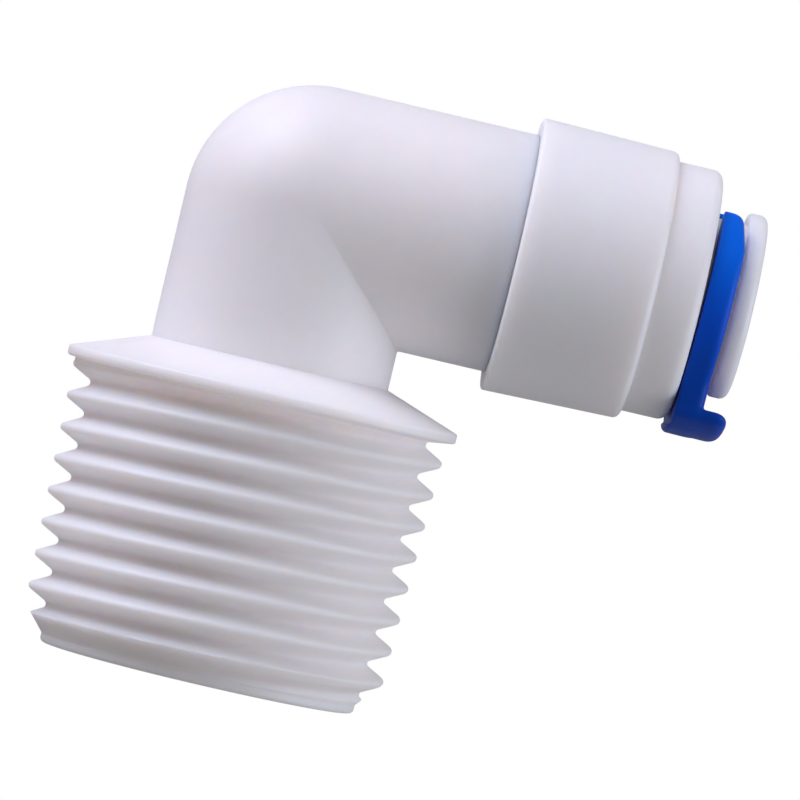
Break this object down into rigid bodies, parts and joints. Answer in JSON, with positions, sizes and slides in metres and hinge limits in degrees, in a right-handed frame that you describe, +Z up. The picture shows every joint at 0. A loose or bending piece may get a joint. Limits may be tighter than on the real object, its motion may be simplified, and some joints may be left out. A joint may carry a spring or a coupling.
{
  "type": "push to connect fitting",
  "caption": "Plastic elbow fitting: push-in tube port with slotted collet and locking clip, and a tapered male pipe thread below a cone flange.",
  "frame": {"origin": "centre of the threaded stem's end face, where the stem bore opens", "axes": "+Z up the stem from its open end to the elbow, +X out along the tube port, +Y to the back"},
  "size_m": [0.0369, 0.0224, 0.0351],
  "materials": {
    "body_plastic": "satin white moulded acetal",
    "cap_plastic": "satin white moulded acetal, a shade warmer than the body",
    "collet_plastic": "smooth slightly translucent white acetal",
    "clip_plastic": "smooth blue acetal",
    "inner_plastic": "plain white acetal",
    "seal_rubber": "black nitrile",
    "tooth_steel": "stamped stainless steel"
  },
  "bodies": {
    "fitting": {"elbow_body": "body_plastic", "retaining_cap": "cap_plastic", "o_ring_inner": "seal_rubber", "seal_spacer": "inner_plastic", "o_ring_outer": "seal_rubber"},
    "washer": {"pressure_washer": "inner_plastic"},
    "collet": {"collet": "collet_plastic", "grip_tooth_1": "tooth_steel", "grip_tooth_2": "tooth_steel", "grip_tooth_3": "tooth_steel", "grip_tooth_4": "tooth_steel"},
    "clip": {"locking_clip": "clip_plastic"}
  },
  "joints": [
    {"name": "collet_spin", "type": "hinge", "parent": "fitting", "child": "washer", "pos_m": [0.02, 0, 0.02726], "axis": [1, 0, 0], "continuous": true},
    {"name": "collet_push", "type": "slide", "parent": "washer", "child": "collet", "axis": [-1, 0, 0], "range_m": [0, 0.0017]},
    {"name": "clip_pull", "type": "slide", "parent": "collet", "child": "clip", "axis": [0, 0, -1], "range_m": [0, 0.065], "deforming": ["locking_clip"]}
  ],
  "couplings": [
    {"joint": "collet_push", "follows": "clip_pull", "ratio": 0.02615}
  ]
}
